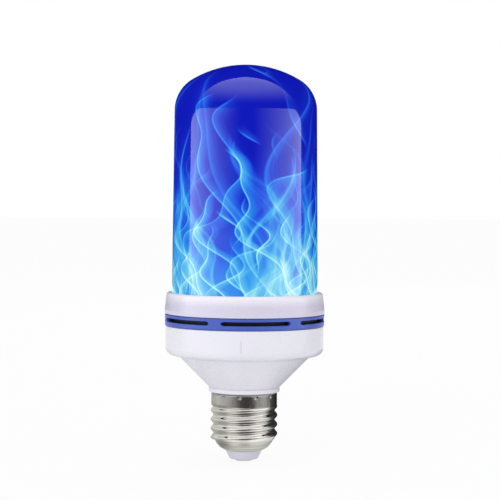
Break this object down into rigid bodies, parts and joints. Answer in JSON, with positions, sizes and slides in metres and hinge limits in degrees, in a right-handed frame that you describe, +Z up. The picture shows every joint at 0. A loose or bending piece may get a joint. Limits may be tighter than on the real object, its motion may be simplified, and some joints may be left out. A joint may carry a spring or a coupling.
{
  "type": "flame effect led bulb",
  "caption": "Tall domed LED lamp with a blue flame picture on its cover, a white collar and housing, a slotted vent ring and a screw cap.",
  "frame": {"origin": "on the lamp's axis, at the foot of the centre contact, which is the lowest point", "axes": "+Z up the lamp's axis to the dome, -Y the front that the picture shows, +X to the picture's right"},
  "size_m": [0.0628, 0.0628, 0.1554],
  "materials": {
    "blue_cover": "satin",
    "white_housing": "gloss",
    "blue_ring": "satin",
    "nickel": "bright nickel plate",
    "insulator": "matte",
    "white_carrier": "matte",
    "screw_steel": "zinc plate",
    "white_board": "white solder resist",
    "led_package": "gloss",
    "green_board": "green solder resist",
    "black_package": "matte",
    "capacitor_sleeve": "sleeved",
    "ferrite": "matte",
    "resistor_coat": "lacquered",
    "red_lead": "satin",
    "white_lead": "satin",
    "black_lead": "satin"
  },
  "bodies": {
    "root": {"flame_cover": "blue_cover", "upper_collar": "white_housing", "vent_ring": "blue_ring", "lower_housing": "white_housing", "cap_shell": "nickel", "cap_insulator": "insulator", "centre_contact": "nickel", "led_carrier": "white_carrier", "carrier_screws": "screw_steel", "flex_board": "white_board", "flame_leds": "led_package", "top_board": "white_board", "top_leds": "led_package", "driver_board": "green_board", "bridge_rectifier": "black_package", "fuse_resistor": "resistor_coat", "input_capacitor": "capacitor_sleeve", "output_capacitor": "capacitor_sleeve", "power_inductor": "ferrite", "driver_chip": "black_package", "flame_controller": "black_package", "live_lead": "red_lead", "neutral_lead": "black_lead", "led_leads": "red_lead", "top_board_leads": "white_lead"}
  },
  "joints": []
}
